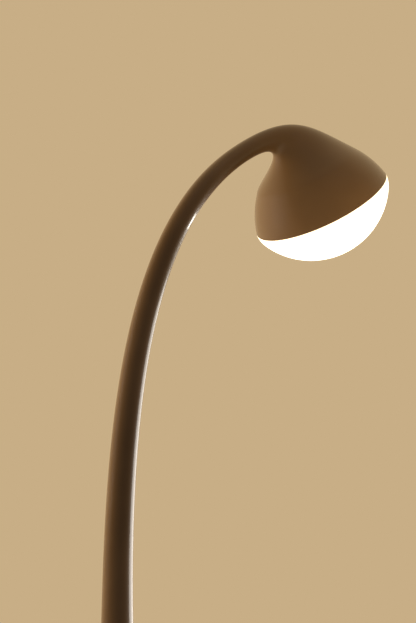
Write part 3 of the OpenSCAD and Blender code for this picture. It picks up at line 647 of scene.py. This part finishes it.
dress(white, "shade_rings", "holder_cap", "holder_sleeve")
dress(finish("brass", rolled_brass), "bulb_cap")
dress(finish("frosted_glass", frosted), "bulb_globe")

# ---------------------------------------------------------------- opal dome
# The dome is blown opal acrylic with a satin outside, bonded to a white collar whose three lugs turn into a ring
# in the bell. The lamp is on, so the dome glows warm white. Towards the rim the glow is painted a little deeper and
# warmer, a painted shading of the light where the wall is seen edge on.
seam = 0.4
dome_depth = 89.5
dome_shoulder = 40
dome_wall = 3
dome_edge = 0.6
dome_glow = 1.4
shelf_r = 101
crown_depth = dome_depth - seam
dome_crown = (rim_r ** 2 + crown_depth ** 2 - 2 * rim_r * dome_shoulder) / (2 * (crown_depth - dome_shoulder))
crown_at = Vector((0, dome_crown - dome_depth))
shoulder_at = Vector((rim_r - dome_shoulder, -seam))
inside_r = dome_shoulder - dome_wall
down = -math.pi / 2
meeting = math.atan2(shoulder_at.y - crown_at.y, shoulder_at.x)


def dome_arc(middle, r, start, end, steps):
    """The points of an arc in the dome's section, none of them past its axis."""
    return [(max(0, middle.x + r * math.cos(start + (end - start) * k / steps)),
             middle.y + r * math.sin(start + (end - start) * k / steps)) for k in range(steps + 1)]


def glowing(place):
    centred = place.node("VectorMath", {"operation": "SUBTRACT"}, {0: place, 1: rim_centre * mm})
    height = place.node("VectorMath", {"operation": "DOT_PRODUCT"}, {0: centred, 1: head_up}, "Value")
    depth = height * (-1 / (dome_depth * mm))
    satin = noise(place, 1500, 2)
    return {
        "Base Color": blend(satin, (0.3, tone(248, 243, 232)), (0.7, tone(253, 249, 240))),
        "Roughness": 0.34 + satin * 0.12,
        # painted shade: the glow's colour is painted deeper and warmer near the rim, following height over the rim
        "Emission Color": blend(depth, (0, tone(255, 226, 176)), (0.06, tone(255, 240, 208)),
                                (0.3, tone(255, 250, 232))),
        "Emission Strength": dome_glow,
        "Normal": bump(satin, 0.05, 0.0001),
    }


dome_line = dome_arc(crown_at, dome_crown, down, meeting, steps=28)
dome_line += dome_arc(shoulder_at, dome_shoulder, meeting, 0, steps=20)[1:]
edge = len(dome_line) - 1
dome_line += [(shelf_r, -seam), (shelf_r, -seam - dome_wall)]
dome_line += dome_arc(shoulder_at, inside_r, -math.asin(dome_wall / inside_r), meeting, steps=16)
dome_line += dome_arc(crown_at, dome_crown - dome_wall, meeting, down, steps=24)[1:]
dome = turned(dome_line, body_sides, dome_edge, (edge,), closed=False)
piece("opal_dome", in_head(dome), finish("opal", glowing), "diffuser", "opal", "diffuser")
dress(white, "dome_collar")

# ---------------------------------------------------------------- floor, light and camera
# A plain pale floor with its own soft box fades out round the lamp, in a pale sand-coloured room. The other boxes
# leave the floor out. The low one at the right draws the long bright line on the stem's edge, and a small one beside
# the dome stands for the dome's own light on the stem.
room = tone(200, 174, 134)
room_light = 0.26
room_tint = (1, 0.97, 0.92, 1)
floor_colour = tone(214, 196, 164)
floor_r = 7
floor_sides = 96
fade_from, fade_to = 1, 2.7
box_tint = (1, 0.95, 0.88)
dome_light_out = 123
dome_light_down = 10
eye = (-1.3087, -2.0167, 1.05)
looking = Vector((0.592, 0.806, 0))


def mixed(factor, first, second):
    """One surface that turns into another."""
    return factor.node("MixShader", {}, {0: factor, 1: first, 2: second})


ground = bmesh.new()
bmesh.ops.create_circle(ground, cap_ends=True, segments=floor_sides, radius=floor_r)
floor = placed("floor", ground)
floor.visible_diffuse = False
plaster = bpy.data.materials.new("pale_floor")
plaster.use_nodes = True
spot = Shade(plaster.node_tree).node("TexCoord", out="Object")
away = spot.node("VectorMath", {"operation": "LENGTH"}, {0: spot}, "Value")
fade = spot.node("MapRange", {"interpolation_type": "SMOOTHSTEP"},
                 {"Value": away, "From Min": fade_from, "From Max": fade_to})
matt = spot.node("BsdfDiffuse", {}, {"Color": floor_colour, "Normal": bump(noise(spot, 300, 3), 0.05, 0.0005)})
plaster.node_tree.links.new(mixed(fade, matt, spot.node("BsdfTransparent")).socket,
                            plaster.node_tree.nodes["Material Output"].inputs["Surface"])
floor.data.materials.append(plaster)

world = bpy.data.worlds.new("room")
world.use_nodes = True
bpy.context.scene.world = world
outward = Shade(world.node_tree).node("TexCoord", out="Generated")
facing = outward.node("VectorMath", {"operation": "DOT_PRODUCT"}, {0: outward, 1: looking}, "Value")
depth = outward.node("MapRange", {"interpolation_type": "SMOOTHSTEP"},
                     {"Value": facing, "From Min": -0.5, "From Max": 0.7, "To Min": 0.05, "To Max": 1})
direct = outward.node("LightPath", out="Is Camera Ray")
mirrored = outward.node("LightPath", out="Is Glossy Ray") + outward.node("LightPath", out="Is Transmission Ray")
soft = outward.node("Background", {}, {"Color": room_tint, "Strength": room_light})
wall = outward.node("Background", {}, {"Color": room, "Strength": direct + mirrored * depth})
world.node_tree.links.new(mixed(direct + mirrored, soft, wall).socket,
                          world.node_tree.nodes["World Output"].inputs["Surface"])

floor_only = bpy.data.collections.new("floor_only")
floor_only.objects.link(floor)
no_floor = bpy.data.collections.new("no_floor")
no_floor.objects.link(floor)
no_floor.collection_objects[0].light_linking.link_state = "EXCLUDE"


def soft_box(name, place, target, size, watts, lit, mirrored=False, spread=math.pi):
    """A flat light that faces a target and lights one set of objects. Its size is in metres."""
    data = bpy.data.lights.new(name, "AREA")
    data.shape, data.energy, data.color, data.spread = "RECTANGLE", watts, box_tint, spread
    data.size, data.size_y = size
    box = bpy.data.objects.new(name, data)
    box.location = place
    box.rotation_euler = (Vector(target) - Vector(place)).to_track_quat("-Z", "Y").to_euler()
    box.visible_camera, box.visible_glossy = False, mirrored
    box.light_linking.receiver_collection = lit
    bpy.context.scene.collection.objects.link(box)


soft_box("box_right", (1.5, -0.05, 0.47), (0, 0, 0.8), (1.5, 0.86), 15, no_floor, mirrored=True)
soft_box("box_left", (-1.1, 1.72, 1.1), (0.35, 0, 1.2), (2.8, 1.6), 105, no_floor)
soft_box("box_top", (0.5, -0.5, 3), (0.4, 0, 1.2), (2, 2), 12, no_floor)
soft_box("box_front", (0.3, -0.75, 1), (0.43, 0, 1.2), (0.2, 0.2), 0.26, no_floor, spread=math.radians(40))
soft_box("box_floor", (0, 0, 4), (0, 0, 0), (5, 5), 120, floor_only)
beside = (rim_centre - dome_light_out * head_across - dome_light_down * head_up) * mm
soft_box("dome_light", beside, (0.143, 0, 1.194), (0.1, 0.025), 0.006, no_floor, mirrored=True,
         spread=math.radians(50))

lens = bpy.data.cameras.new("camera")
lens.lens, lens.sensor_fit, lens.sensor_height = 90.47, "VERTICAL", 36
camera = bpy.data.objects.new("camera", lens)
camera.location = eye
camera.rotation_euler = looking.to_track_quat("-Z", "Y").to_euler()
bpy.context.scene.collection.objects.link(camera)
bpy.context.scene.camera = camera
bpy.context.scene.view_settings.view_transform = "Standard"
